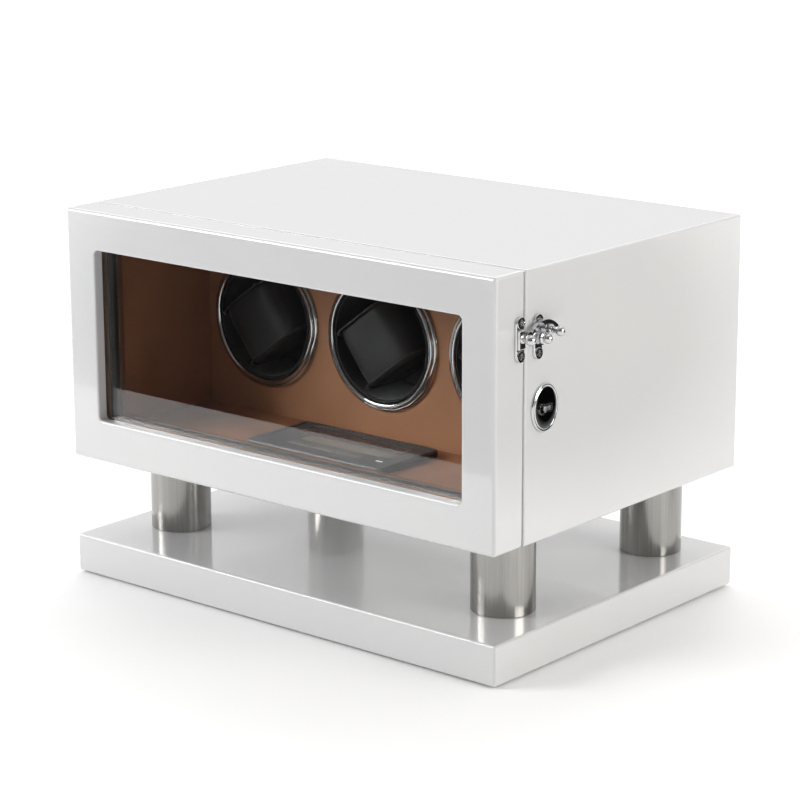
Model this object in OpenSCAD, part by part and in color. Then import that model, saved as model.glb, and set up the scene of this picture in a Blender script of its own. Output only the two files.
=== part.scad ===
// Watch winder box for three watches: a white lacquered cabinet on four steel posts over a plinth.
// A glazed door hangs on the left, with a hook latch and a lock on the right-hand side.
// Frame: origin at the centre of the underside, +X to the latch side, -Y to the door, +Z up.

/* [Body] */
// Width of the cabinet and the plinth
body_w = 340; // [330:1:360]
// Depth of the cabinet with its door
body_d = 244.6; // [240:1:270]
// Height from the felt to the top
body_h = 238.6; // [235:1:260]

/* [Base] */
// Thickness of the felt under the plinth
felt_t = 1.2; // [0.8:0.2:3]
// Height of the plinth's top face
plinth_top = 25.8; // [22:0.2:32]
// Depth of the plinth
plinth_d = 242.4; // [236:0.2:250]
// Diameter of the steel posts
post_d = 38.7; // [30:0.1:42]
// Sideways place of the posts
post_x = 132; // [120:1:140]
// Place of the front posts, front to back
post_front_y = -65; // [-80:1:-50]
// Place of the rear posts, front to back
post_rear_y = 86; // [70:1:95]

/* [Cabinet] */
// Height of the cabinet's underside
cabinet_z = 78.2; // [70:0.2:84]
// Thickness of the top and bottom boards
board_t = 12; // [10:0.5:14]
// Thickness of the side walls
side_t = 15; // [14:0.5:18]
// Thickness of the leather-covered lining boards
lining_t = 6.8; // [5:0.2:8]
// Front face of the rotor panel
panel_y = -16.3; // [-18:0.1:-14]
// Thickness of the rotor panel
panel_t = 12; // [10:0.5:14]

/* [Door] */
// Thickness of the door
door_t = 26.4; // [24:0.1:28]
// Gap between the door and the cabinet
door_gap = 0.8; // [0.6:0.1:1.2]
// Half the width of the window
window_x = 146; // [140:1:150]
// Lower edge of the window
window_z0 = 104.8; // [100:0.2:110]
// Upper edge of the window
window_z1 = 214; // [208:0.2:218]
// Depth of the white reveal in front of the glass
reveal = 6.8; // [4:0.2:9]
// Thickness of the glass
glass_t = 3; // [2:0.5:4]
// Width of the rebate that holds the glass
rebate = 5; // [4:0.5:6]

/* [Rotors] */
// Distance from rotor to rotor
rotor_pitch = 97.6; // [92:0.2:100]
// Height of the rotor axes
rotor_z = 158.4; // [150:0.2:165]
// Outer radius of a rotor cup
cup_r = 37.9; // [36:0.1:38]
// Turn of the cushions about the rotor axis
cushion_turn = -53; // [-90:1:90]
// Teeth on a rotor gear
gear_teeth = 48; // [48:12:48]
// Teeth on a motor pinion
pinion_teeth = 12; // [12:1:12]

/* [Console] */
// Width of the control console
console_w = 110; // [100:1:120]
// Depth of the control console
console_d = 57; // [50:1:60]
// Height of the console above the lining
console_h = 4.5; // [4:0.5:6]

/* [Latch and lock] */
// Height of the latch pivot
latch_z = 199.5; // [190:0.5:210]
// Height of the lock
lock_z = 157; // [140:0.5:170]

/* [Hidden] */
$fn = 64;
fit = 0.05;
slack = 0.3;
half_w = body_w / 2;
front_y = -body_d / 2;
back_y = body_d / 2;
door_back = front_y + door_t;
cab_front = door_back + door_gap;
floor_z = cabinet_z + board_t;
ceiling_z = body_h - board_t;
lining_z = floor_z + lining_t;
inner_x = half_w - side_t;
glass_y = front_y + reveal;
glass_back = glass_y + glass_t;
bead_back = glass_back + 3.3;
gasket_back = bead_back + 7.9;
post_z1 = cabinet_z;
post_wall = 1.5;
post_places = [for (x = [-post_x, post_x], y = [post_front_y, post_rear_y]) [x, y, 0]];
bolt_r = 3;
bolt_head_z = felt_t + 5;
bolt_head_r = 5.8;
bolt_head_t = 4;
bolt_play = 0.2;
counterbore_r = 7;
cap_t = 3;

// Rotor train, front to back
rotor_xs = [-rotor_pitch, 0, rotor_pitch];
cup_front = panel_y - 2.7;
cup_wall = 1.7;
cup_back = panel_y + 39.7;
cup_floor = cup_back - 2.4;
ring_bore = 38.4;
panel_bore = 41.5;
cushion_front = panel_y - 13.7;
cushion_back = cup_floor - 5;
cushion_w = 54;
cushion_l = 46;
spindle_r = 4;
drive_y = panel_y + 50.3;
drive_t = 6;
gear_y = drive_y + 9;
gear_w = 6;
plate_y = drive_y + 19;
plate_t = 3;
tooth_module = 1;
axle_gap = tooth_module * (gear_teeth + pinion_teeth) / 2;
motor_r = 12;
motor_l = 30;
motor_shaft_r = 1.5;
motor_boss_r = 4;
bush_r = 7;
bush_flange_r = 9;
bush_flange_t = 1.5;
motor_plate_w = 68;
motor_plate_h = 79;
motor_plate_drop = 7.5;
pillar_r = 3.5;
pillar_pin_r = 1.5;
pillar_places = [[-29, 27], [29, 27], [-29, -42], [29, -42]];

// Console on the lining
board_w = 90;
board_d = 40;
console_y = -55.8;
console_top = lining_z + console_h;
key_w = 18;
key_d = 5;
key_xs = [-20.5, -1.2, 18];
key_y = console_y - 14.2;
display_w = 74;
display_d = 11;
display_place = [7, console_y - 1.4, 0];
skirt_w = 95;
skirt_d = 45;
key_travel = 0.8;

// Rear fittings
back_t = 6;
back_lap = 8;
back_face = back_y - 2;
inlet_x = -120;
switch_x = -90;
fitting_z = 112;
rocker_y = back_face - 1.5;
rocker_r = 7;
rocker_tilt = 8;

// Latch on the right-hand side
wall_x = half_w;
latch_y = -86.3;
keeper_y = -101.8;
keeper_z = latch_z + 1.7;
latch_plate_t = 1.6;
latch_plate_h = 26;
hook_x0 = wall_x + 3;
hook_x1 = wall_x + 5.4;
tail_place = [6.6, 3.8];

// Lock in the right-hand wall
lock_y = -82.5;
lock_h = 28;
lock_case_x0 = wall_x - 12.5;
lock_case_x1 = wall_x - 2.5;
lock_depth = 28;
lock_oval_y = lock_y + 4.6;
keyhole_r = 2.3;
strike_h = 30;
crank_r = 4.24;
plug_r = 4.5;
bolt_t = 4;
bolt_h = 15;

// Hinges on the left-hand side
hinge_x = -half_w - 2.2;
hinge_y = cab_front - door_gap / 2;
hinge_r = 2.4;
hinge_pin_r = 1.2;
hinge_l = 36;
knuckle_l = 11;
hinge_zs = [cabinet_z + 32, body_h - 32];
leaf_t = 1.2;
leaf_w = 12;

// Wood screws, as [place, turn]: each runs along its own -Z from a head at its place
screw_r = 1;
screw_head_r = 1.9;
screw_l = 9;
to_left = [0, 90, 0];
to_back = [90, 0, 0];
to_front = [-90, 0, 0];
latch_screws = [for (z = [-9.6, 9.6]) [[wall_x + latch_plate_t, latch_y + 1, latch_z + z], to_left]];
keeper_screws = [for (z = [-9.6, 9.6]) [[wall_x + latch_plate_t, keeper_y, latch_z + 1 + z], to_left]];
hinge_offsets = [-12, 0, 12];
leaf_screw_x = -half_w + 7;
cabinet_leaf_screws = [for (z = hinge_zs, o = hinge_offsets) [[leaf_screw_x, cab_front, z + o], to_back]];
door_leaf_screws = [for (z = hinge_zs, o = hinge_offsets) [[leaf_screw_x, door_back, z + o], to_front]];
strike_screws = [for (z = [-12, 12]) [[wall_x - 9.3, door_back, lock_z + z], to_front]];
back_screws = [for (s = [-1, 1], z = [-60, 0, 60]) [[s * (inner_x + 4), back_face, rotor_z + z], to_front]];
flush = 0.9;

// A block from its low corner to its high corner
module block(low, high) {
    translate(low) cube(high - low);
}

// Round bars along each axis
module x_rod(r, x0, x1) {
    translate([x0, 0, 0]) rotate([0, 90, 0]) cylinder(r = r, h = x1 - x0);
}

module y_rod(r, y0, y1) {
    translate([0, y1, 0]) rotate([90, 0, 0]) cylinder(r = r, h = y1 - y0);
}

// A rectangle with round corners, exact
module round_rect(w, h, r) {
    square([w - 2 * r, h], center = true);
    square([w, h - 2 * r], center = true);
    for (x = [-1, 1], y = [-1, 1]) translate([x * (w / 2 - r), y * (h / 2 - r)]) circle(r);
}

// A flat shape drawn in Y and Z, given thickness along X
module along_x(x0, x1) {
    translate([x0, 0, 0]) rotate([90, 0, 90]) linear_extrude(x1 - x0) children();
}

// A flat shape drawn in X and Z, given thickness along Y
module along_y(y0, y1) {
    translate([0, y1, 0]) rotate([90, 0, 0]) linear_extrude(y1 - y0) children();
}

// A flat shape drawn in X and Y, given thickness along Z
module along_z(z0, z1) {
    translate([0, 0, z0]) linear_extrude(z1 - z0) children();
}

// A screw's head stands on the face, or lies in it by the amount it is sunk
module wood_screws(places, sunk = 0) {
    for (s = places) translate(s[0]) rotate(s[1]) translate([0, 0, -sunk]) {
        difference() {
            cylinder(r = screw_head_r, h = 0.8);
            translate([-screw_head_r, -0.25, 0.4]) cube([2 * screw_head_r, 0.5, 1]);
        }
        translate([0, 0, -screw_l]) cylinder(r = screw_r, h = screw_l);
    }
}

module pilot_holes(places, sunk = 0) {
    for (s = places) translate(s[0]) rotate(s[1]) {
        translate([0, 0, -sunk - screw_l]) cylinder(r = screw_r, h = screw_l + sunk);
        if (sunk > 0) translate([0, 0, -sunk]) cylinder(r = screw_head_r, h = sunk + 1);
    }
}

module at_rotor(i) {
    translate([rotor_xs[i], 0, rotor_z]) children();
}

// Spur gear outline: involute flanks above the base circle, radial flanks below it
function radians(a) = a * PI / 180;
function involute(base, roll) =
    base * [cos(roll) + radians(roll) * sin(roll), sin(roll) - radians(roll) * cos(roll)];
function roll_at(base, r) = r <= base ? 0 : sqrt(pow(r / base, 2) - 1) * 180 / PI;
function polar(r, a) = r * [cos(a), sin(a)];
module gear_outline(teeth) {
    pitch_r = tooth_module * teeth / 2;
    base = pitch_r * cos(20);
    root = pitch_r - 1.15 * tooth_module;
    tip = pitch_r + 0.8 * tooth_module;
    backlash = 0.06;
    pitch_point = involute(base, roll_at(base, pitch_r));
    half = 90 / teeth + atan2(pitch_point[1], pitch_point[0]) - backlash / pitch_r * 180 / PI;
    steps = 4;
    start = max(root, base);
    flank = [for (k = [0:steps]) involute(base, roll_at(base, start + (tip - start) * k / steps))];
    angles = [for (p = flank) half - atan2(p[1], p[0])];
    radii = [for (p = flank) norm(p)];
    polygon([for (t = [0:teeth - 1]) let (a = t * 360 / teeth) each concat(
        [polar(root, a - angles[0])],
        [for (k = [0:steps]) polar(radii[k], a - angles[k])],
        [for (k = [steps:-1:0]) polar(radii[k], a + angles[k])],
        [polar(root, a + angles[0])])]);
}

// Base
module felt_pad() {
    inset = 5;
    color("dimgray") block([inset - half_w, inset - plinth_d / 2, 0],
        [half_w - inset, plinth_d / 2 - inset, felt_t]);
}

module plinth() {
    color("white") difference() {
        block([-half_w, -plinth_d / 2, felt_t], [half_w, plinth_d / 2, plinth_top]);
        for (p = post_places) translate(p) {
            translate([0, 0, felt_t - 1]) cylinder(r = counterbore_r, h = bolt_head_z - felt_t + 1);
            cylinder(r = bolt_r + bolt_play, h = plinth_top + 1);
        }
    }
}

module support_posts() {
    color("silver") for (p = post_places) translate([p[0], p[1], plinth_top]) difference() {
        cylinder(d = post_d, h = post_z1 - plinth_top);
        translate([0, 0, cap_t]) cylinder(r = post_d / 2 - post_wall, h = post_z1 - plinth_top - 2 * cap_t);
        translate([0, 0, -1]) cylinder(r = bolt_r + bolt_play, h = post_z1);
    }
}

module tie_bolts() {
    color("silver") for (p = post_places) translate(p) {
        translate([0, 0, bolt_head_z - bolt_head_t]) cylinder(r = bolt_head_r, h = bolt_head_t, $fn = 6);
        translate([0, 0, bolt_head_z]) cylinder(r = bolt_r, h = floor_z - bolt_head_z - 2);
    }
}

// Cabinet
module bolt_holes() {
    for (p = post_places) translate(p) cylinder(r = bolt_r, h = floor_z - 2);
}

module cabinet_bottom() {
    color("white") difference() {
        block([-half_w, cab_front, cabinet_z], [half_w, back_y, floor_z]);
        bolt_holes();
    }
}

module cabinet_top() {
    color("white") block([-half_w, cab_front, ceiling_z], [half_w, back_y, body_h]);
}

module leaf_pockets(y0, y1) {
    for (z = hinge_zs) block([-half_w - 1, y0, z - hinge_l / 2], [leaf_w - half_w, y1, z + hinge_l / 2]);
}

module back_rebate() {
    block([-inner_x - back_lap, back_face - back_t, floor_z], [inner_x + back_lap, back_y + 1, ceiling_z]);
}

module cabinet_left_side() {
    color("white") difference() {
        block([-half_w, cab_front, floor_z], [-inner_x, back_y, ceiling_z]);
        back_rebate();
        pilot_holes(back_screws);
        leaf_pockets(cab_front - 1, cab_front + leaf_t);
        pilot_holes(cabinet_leaf_screws, flush);
    }
}

module cabinet_right_side() {
    color("white") difference() {
        block([inner_x, cab_front, floor_z], [half_w, back_y, ceiling_z]);
        back_rebate();
        pilot_holes(back_screws);
        block([lock_case_x0, cab_front - 1, lock_z - lock_h / 2],
            [lock_case_x1, cab_front + lock_depth, lock_z + lock_h / 2]);
        translate([0, lock_y, lock_z]) x_rod(plug_r + slack, lock_case_x1 - 1, wall_x + 1);
        pilot_holes(latch_screws);
        translate([0, latch_y, latch_z]) x_rod(2, wall_x - 8, wall_x + 1);
    }
}

module back_panel() {
    color("ivory") difference() {
        block([-inner_x - back_lap, back_face - back_t, floor_z], [inner_x + back_lap, back_face, ceiling_z]);
        pilot_holes(back_screws);
        translate([inlet_x, 0, fitting_z]) y_rod(5, back_face - 20, back_face + 1);
        block([switch_x - 7, back_face - 20, fitting_z - 9], [switch_x + 7, back_face + 1, fitting_z + 9]);
    }
}

// Linings and rotor panel
module floor_lining() {
    color("sienna") difference() {
        block([-inner_x, cab_front, floor_z], [inner_x, panel_y, lining_z]);
        translate([0, console_y, 0]) along_z(floor_z - 1, lining_z + 1)
            square([skirt_w + 1, skirt_d + 1], center = true);
    }
}

module wall_linings() {
    side_lining_t = 7;
    color("sienna") {
        block([-inner_x, cab_front, ceiling_z - lining_t], [inner_x, panel_y, ceiling_z]);
        for (s = [-1, 1]) translate([s * (inner_x - side_lining_t / 2), 0, 0])
            block([-side_lining_t / 2, cab_front, lining_z],
                [side_lining_t / 2, panel_y, ceiling_z - lining_t]);
    }
}

module rotor_panel() {
    color("peru") difference() {
        block([-inner_x, panel_y, floor_z], [inner_x, panel_y + panel_t, ceiling_z]);
        for (i = [0:2]) at_rotor(i) y_rod(panel_bore, panel_y - 1, panel_y + panel_t + 1);
    }
}

// Ring section from its bore outwards: a rounded bright bead, then a low flange on the panel
module ring_section() {
    bead_r = 1.9;
    difference() {
        union() {
            translate([ring_bore, 0]) square([44.5 - ring_bore, 1]);
            translate([ring_bore, -8]) square([panel_bore - ring_bore - 0.1, 8]);
            translate([ring_bore + bead_r, 2.1]) circle(bead_r, $fn = 48);
            translate([ring_bore, 0]) square([2 * bead_r, 2.1]);
        }
        translate([0, -9]) square([ring_bore, 20]);
    }
}

module bezel_rings() {
    color("silver") for (i = [0:2]) at_rotor(i) translate([0, panel_y, 0]) rotate([90, 0, 0])
        rotate_extrude($fn = 96) ring_section();
}

// Drive train behind the panel
module drive_board() {
    color("burlywood") difference() {
        block([-inner_x, drive_y, floor_z], [inner_x, drive_y + drive_t, ceiling_z]);
        for (i = [0:2]) at_rotor(i) {
            y_rod(bush_r, drive_y - 1, drive_y + drive_t + 1);
            for (p = pillar_places) translate([p[0], 0, p[1]])
                y_rod(pillar_pin_r, drive_y + 1, drive_y + drive_t + 1);
        }
    }
}

module motor_plates() {
    color("lightgray") for (i = [0:2]) at_rotor(i) {
        difference() {
            translate([0, 0, -motor_plate_drop]) along_y(plate_y, plate_y + plate_t)
                round_rect(motor_plate_w, motor_plate_h, 5);
            y_rod(bush_r, plate_y - 1, plate_y + plate_t + 1);
            translate([0, 0, -axle_gap]) y_rod(motor_boss_r, plate_y - 1, plate_y + plate_t + 1);
        }
        for (p = pillar_places) translate([p[0], 0, p[1]]) {
            y_rod(pillar_r, drive_y + drive_t, plate_y);
            y_rod(pillar_pin_r, drive_y + 1, drive_y + drive_t);
        }
    }
}

// Flanged bush: the flange faces forwards or backwards
module bush(y0, y1, flange_y) {
    difference() {
        union() {
            y_rod(bush_r, y0, y1);
            y_rod(bush_flange_r, flange_y, flange_y + bush_flange_t);
        }
        y_rod(spindle_r + fit, y0 - 5, y1 + 5);
    }
}

module spindle_bushes() {
    color("goldenrod") for (i = [0:2]) at_rotor(i) {
        bush(drive_y, drive_y + drive_t, drive_y - bush_flange_t);
        bush(plate_y, plate_y + plate_t, plate_y + plate_t);
    }
}

module motors() {
    face = plate_y + plate_t;
    color("gray") for (i = [0:2]) at_rotor(i) translate([0, 0, -axle_gap]) difference() {
        union() {
            y_rod(motor_r, face, face + motor_l);
            y_rod(motor_boss_r, plate_y + 0.5, face);
            y_rod(5, face + motor_l, face + motor_l + 2);
        }
        y_rod(motor_shaft_r + fit, plate_y - 1, face + 4);
    }
}

module cup(i) {
    color("#202022") at_rotor(i) {
        difference() {
            y_rod(cup_r, cup_front, cup_back);
            y_rod(cup_r - cup_wall, cup_front - 1, cup_floor);
            y_rod(spindle_r, cup_floor - 1, cup_back + 1);
        }
    }
}

module spindle(i) {
    color("silver") at_rotor(i) {
        y_rod(spindle_r, cup_floor, plate_y + plate_t + 2.5);
        y_rod(9, cup_back, cup_back + 2.5);
        y_rod(8, gear_y - 1.5, gear_y);
        along_y(gear_y, gear_y + gear_w) gear_outline(gear_teeth);
    }
}

module pinion(i) {
    color("khaki") at_rotor(i) translate([0, 0, -axle_gap]) {
        along_y(gear_y - 0.5, gear_y + gear_w + 0.5) rotate(180 / pinion_teeth) gear_outline(pinion_teeth);
        y_rod(motor_shaft_r, gear_y - 1.5, plate_y + plate_t + 3.5);
    }
}

// The cushion is an oval roll: flat ends, and a rounded section that the strap closes round
module cushion(i) {
    middle_y = (cushion_front + cushion_back) / 2;
    color("#1b1b1d") at_rotor(i) rotate([0, -cushion_turn, 0]) translate([0, middle_y, 0])
        along_x(-cushion_l / 2, cushion_l / 2) rotate(90)
            round_rect(cushion_w, cushion_back - cushion_front, 14);
}

// Control console: a shallow bezel on the lining, with a skirt that drops through it
module console_housing() {
    rim = 3.5;
    wall = 2;
    step = 4;
    color("#3c3e44") difference() {
        translate([0, console_y, 0]) {
            along_z(lining_z, console_top - 1.5) round_rect(console_w, console_d, 4);
            along_z(console_top - 1.5, console_top) round_rect(console_w - step, console_d - step, 3);
            along_z(floor_z, lining_z) square([skirt_w, skirt_d], center = true);
        }
        translate([0, console_y, 0]) {
            along_z(floor_z - 1, lining_z + 1)
                square([skirt_w - 2 * wall, skirt_d - 2 * wall], center = true);
            along_z(console_top - 0.6, console_top + 1)
                round_rect(console_w - step - 2 * rim, console_d - step - 2 * rim, 2);
        }
        translate(display_place) along_z(lining_z, console_top + 1)
            square([display_w, display_d], center = true);
        for (x = key_xs) translate([x, key_y, 0]) along_z(lining_z, console_top + 1)
            square([key_w + 2 * slack, key_d + 2 * slack], center = true);
    }
}

module console_display() {
    color("#6f6f62") translate(display_place) along_z(lining_z + 1, console_top - 0.8)
        square([display_w, display_d], center = true);
}

module controller_board() {
    board_top = floor_z + 1.6;
    color("darkgreen") {
        translate([0, console_y, 0]) along_z(floor_z, board_top) square([board_w, board_d], center = true);
        translate([20, console_y + 6, 0]) along_z(board_top, board_top + 2) square([12, 12], center = true);
        translate([-20, console_y + 6, 0]) along_z(board_top, board_top + 1.2) square([8, 14], center = true);
        for (x = key_xs) translate([x, key_y, 0]) along_z(board_top, board_top + 1.6)
            square([5, 5], center = true);
    }
}

module key(i) {
    color("#77776a") translate([key_xs[i], key_y, 0]) {
        along_z(lining_z + 1, console_top + 0.2) square([key_w, key_d], center = true);
        along_z(floor_z + 3.2 + key_travel + 0.2, lining_z + 1) square([4, 4], center = true);
    }
}

// Rear fittings
module dc_inlet() {
    color("#222222") translate([inlet_x, 0, fitting_z]) difference() {
        union() {
            y_rod(5, back_face - back_t, back_face);
            y_rod(7, back_face, back_face + 1.6);
            y_rod(6.4, back_face - back_t - 8, back_face - back_t);
        }
        difference() {
            y_rod(2.9, back_face - 9, back_face + 3);
            y_rod(1, back_face - 10, back_face + 1);
        }
    }
}

module switch_bezel() {
    color("#222222") translate([switch_x, 0, fitting_z]) difference() {
        union() {
            along_y(back_face - 12, back_face) square([14, 18], center = true);
            along_y(back_face, back_face + 1.5) round_rect(17, 21, 1.5);
        }
        along_y(back_face - 10, back_face + 2) square([10.6, 2 * (rocker_r + slack)], center = true);
    }
}

module power_rocker() {
    color("#333333") translate([switch_x, rocker_y, fitting_z]) rotate([-rocker_tilt, 0, 0])
        along_x(-5, 5) intersection() {
            circle(rocker_r);
            translate([-4, -rocker_r]) square([6.2, 2 * rocker_r]);
        }
}

// Door
module stile(side) {
    outer = side * half_w;
    lip = side * window_x;
    shoulder = side * (window_x + rebate);
    color("white") difference() {
        block([min(outer, lip), front_y, cabinet_z], [max(outer, lip), door_back, body_h]);
        block([min(shoulder, lip - side), glass_y, window_z0 - rebate],
            [max(shoulder, lip - side), door_back + 1, window_z1 + rebate]);
        if (side < 0) leaf_pockets(door_back - leaf_t, door_back + 1);
        if (side < 0) pilot_holes(door_leaf_screws, flush);
        if (side > 0) {
            pilot_holes(keeper_screws);
            pilot_holes(strike_screws, flush);
            translate([0, keeper_y, keeper_z]) x_rod(1.6, wall_x - 8, wall_x + 1);
            block([wall_x - 12.8, door_back - 8, lock_z - 9], [wall_x - 5.8, door_back + 1, lock_z + 9]);
            block([wall_x - 14.3, door_back - 1, lock_z - strike_h / 2],
                [wall_x - 4.3, door_back + 1, lock_z + strike_h / 2]);
        }
    }
}

module rail(z0, z1, rebate_z0, rebate_z1) {
    color("white") difference() {
        block([-window_x, front_y, z0], [window_x, door_back, z1]);
        block([-window_x - 1, glass_y, rebate_z0], [window_x + 1, door_back + 1, rebate_z1]);
    }
}

module window_frame(y0, y1) {
    window_h = window_z1 - window_z0;
    translate([0, 0, window_z0 + window_h / 2]) along_y(y0, y1) difference() {
        square([2 * (window_x + rebate), window_h + 2 * rebate], center = true);
        square([2 * window_x, window_h], center = true);
    }
}

module door_left_stile() {
    stile(-1);
}

module door_right_stile() {
    stile(1);
}

module door_top_rail() {
    rail(window_z1, body_h, window_z1 - 1, window_z1 + rebate);
}

module door_bottom_rail() {
    rail(cabinet_z, window_z0, window_z0 - rebate, window_z0 + 1);
}

module door_glass() {
    color("#dfe6e880") block([-window_x - rebate, glass_y, window_z0 - rebate],
        [window_x + rebate, glass_back, window_z1 + rebate]);
}

module glass_bead() {
    color("saddlebrown") window_frame(glass_back, bead_back);
}

module door_gasket() {
    color("#161616") window_frame(bead_back, gasket_back);
}

module door_lining() {
    color("sienna") window_frame(gasket_back, door_back);
}

// Hinges: the outer knuckles belong to the cabinet leaf, the middle one to the door leaf
module knuckle(z0, z1, bore, side) {
    near = side * door_gap / 2;
    far = near + side * leaf_t;
    translate([hinge_x, hinge_y, 0]) difference() {
        union() {
            translate([0, 0, z0]) cylinder(r = hinge_r, h = z1 - z0);
            block([0, min(near, far), z0], [4, max(near, far), z1]);
        }
        translate([0, 0, z0 - 1]) cylinder(r = bore, h = z1 - z0 + 2);
    }
}

module leaf(y0, y1, z) {
    block([hinge_x + 3, y0, z - hinge_l / 2], [leaf_w - half_w, y1, z + hinge_l / 2]);
}

module hinge_cabinet_leaves() {
    color("silver") difference() {
        for (z = hinge_zs) {
            leaf(cab_front, cab_front + leaf_t, z);
            knuckle(z - hinge_l / 2, z - hinge_l / 2 + knuckle_l, hinge_pin_r, 1);
            knuckle(z + hinge_l / 2 - knuckle_l, z + hinge_l / 2, hinge_pin_r, 1);
        }
        pilot_holes(cabinet_leaf_screws, flush);
    }
}

module hinge_door_leaves() {
    middle_l = hinge_l - 2 * knuckle_l - 2 * slack;
    color("silver") difference() {
        for (z = hinge_zs) {
            leaf(door_back - leaf_t, door_back, z);
            knuckle(z - middle_l / 2, z + middle_l / 2, hinge_pin_r + fit, -1);
        }
        pilot_holes(door_leaf_screws, flush);
    }
}

module hinge_pins() {
    color("silver") for (z = hinge_zs) translate([hinge_x, hinge_y, z]) {
        translate([0, 0, -hinge_l / 2]) cylinder(r = hinge_pin_r, h = hinge_l);
        for (s = [-1, 1]) translate([0, 0, s * (hinge_l / 2 + 0.6) - 0.6]) cylinder(r = 2, h = 1.2);
    }
}

// Latch: both of its plates are oblong, with round ends
module latch_oblong() {
    w = 7.6;
    straight = latch_plate_h - w;
    along_x(wall_x, wall_x + latch_plate_t) {
        square([w, straight], center = true);
        for (s = [-1, 1]) translate([0, s * straight / 2]) circle(w / 2);
    }
}

module latch_keeper() {
    color("silver") {
        difference() {
            translate([0, keeper_y, latch_z + 1]) latch_oblong();
            pilot_holes(keeper_screws);
        }
        translate([0, keeper_y, latch_z + 1]) along_x(wall_x + latch_plate_t, wall_x + 2.8)
            round_rect(6, 11, 1);
        translate([0, keeper_y, keeper_z]) {
            x_rod(1.6, wall_x - 8, wall_x + 8);
            translate([wall_x + 8.6, 0, 0]) sphere(3.2, $fn = 48);
        }
    }
}

module latch_plate() {
    color("silver") difference() {
        union() {
            translate([0, latch_y + 1, latch_z]) latch_oblong();
            translate([0, latch_y, latch_z]) x_rod(3.8, wall_x + latch_plate_t, hook_x0 - 0.1);
        }
        pilot_holes(latch_screws);
        translate([0, latch_y, latch_z]) x_rod(2, wall_x - 8, wall_x + 5);
    }
}

module latch_pivot() {
    color("silver") translate([0, latch_y, latch_z]) {
        x_rod(2, wall_x - 8, hook_x1 + 0.1);
        x_rod(3.3, hook_x1 + 0.1, hook_x1 + 1);
        x_rod(2.4, hook_x1 + 1, hook_x1 + 3);
        translate([hook_x1 + 3.4, 0, 0]) sphere(2.9, $fn = 48);
    }
}

// The hook is a crescent over its pivot, with its nose behind the keeper's stud and a turned tail knob
module latch_hook() {
    color("silver") translate([0, latch_y, latch_z]) {
        difference() {
            along_x(hook_x0, hook_x1) {
                intersection() {
                    difference() {
                        translate([2.5, -6.5]) circle(16.4, $fn = 96);
                        translate([2, -10]) circle(16.2, $fn = 96);
                    }
                    translate([-13.5, 1.5]) square([28, 10]);
                }
                circle(4);
                translate([-3, 0]) square([6.5, 7.5]);
                translate([3, 2.5]) square([5, 5.5]);
                translate([-11.4, 3.9]) circle(1.6);
            }
            x_rod(2 + fit, hook_x0 - 1, hook_x1 + 1);
        }
        translate([0, tail_place[0], tail_place[1]]) {
            x_rod(3, hook_x1, hook_x1 + 1.6);
            x_rod(2, hook_x1 + 1.6, hook_x1 + 5);
            translate([hook_x1 + 7, 0, 0]) sphere(3, $fn = 48);
        }
    }
}

// Lock: a case let into the wall's front edge, a plug with a crank pin, and the bolt that it throws
module lock_escutcheon() {
    color("silver") difference() {
        translate([wall_x, lock_oval_y, lock_z]) {
            along_x(0, 1.6) oval(24.4, 28.6);
            along_x(1.6, 2.6) oval(21.6, 25.8);
        }
        translate([0, lock_y, lock_z]) x_rod(keyhole_r, wall_x - 1, wall_x + 4);
        block([wall_x - 1, lock_y, lock_z - 1.3], [wall_x + 4, lock_y + 8, lock_z + 1.3]);
    }
}

// Oval outline, as points on an ellipse
module oval(w, h) {
    polygon([for (a = [0:6:354]) [w / 2 * cos(a), h / 2 * sin(a)]]);
}

module lock_case() {
    color("silver") difference() {
        block([lock_case_x0, cab_front, lock_z - lock_h / 2],
            [lock_case_x1, cab_front + lock_depth, lock_z + lock_h / 2]);
        block([lock_case_x0 + 1, cab_front + 1, lock_z - bolt_h / 2 - slack],
            [lock_case_x1 - 1, cab_front + lock_depth - 1, lock_z + bolt_h / 2 + slack]);
        block([lock_case_x0 + 1, cab_front - 1, lock_z - bolt_h / 2 - slack],
            [lock_case_x0 + 1 + bolt_t + 2 * slack, cab_front + 2, lock_z + bolt_h / 2 + slack]);
        translate([0, lock_y, lock_z]) x_rod(plug_r + fit, lock_case_x1 - 2, lock_case_x1 + 1);
    }
}

module lock_plug() {
    inner = lock_case_x0 + 1 + bolt_t + 3 * slack;
    color("gold") translate([0, lock_y, lock_z]) difference() {
        union() {
            x_rod(plug_r, inner, wall_x - 0.2);
            x_rod(6, inner, inner + 1.6);
            rotate([45, 0, 0]) translate([0, crank_r, 0]) x_rod(1, lock_case_x0 + 2, inner);
        }
        block([wall_x - 6, -1, -0.8], [wall_x + 1, 3.6, 0.8]);
    }
}

module lock_bolt() {
    x0 = lock_case_x0 + 1 + slack;
    slot_y = lock_y + crank_r * cos(45);
    color("gold") difference() {
        block([x0, cab_front + 0.2, lock_z - bolt_h / 2], [x0 + bolt_t, cab_front + 20, lock_z + bolt_h / 2]);
        block([x0 - 1, slot_y - 1.4, lock_z + 1], [x0 + bolt_t + 1, slot_y + 1.4, lock_z + 6]);
    }
}

module strike_plate() {
    color("silver") difference() {
        block([wall_x - 14.3, door_back - 1, lock_z - strike_h / 2],
            [wall_x - 4.3, door_back, lock_z + strike_h / 2]);
        block([wall_x - 12.6, door_back - 2, lock_z - 8.5], [wall_x - 6, door_back + 1, lock_z + 8.5]);
        pilot_holes(strike_screws, flush);
    }
}

module door_screws() {
    color("silver") {
        wood_screws(keeper_screws);
        wood_screws(door_leaf_screws, flush);
        wood_screws(strike_screws, flush);
    }
}

module cabinet_screws() {
    color("silver") {
        wood_screws(latch_screws);
        wood_screws(cabinet_leaf_screws, flush);
        wood_screws(back_screws);
    }
}

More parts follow.
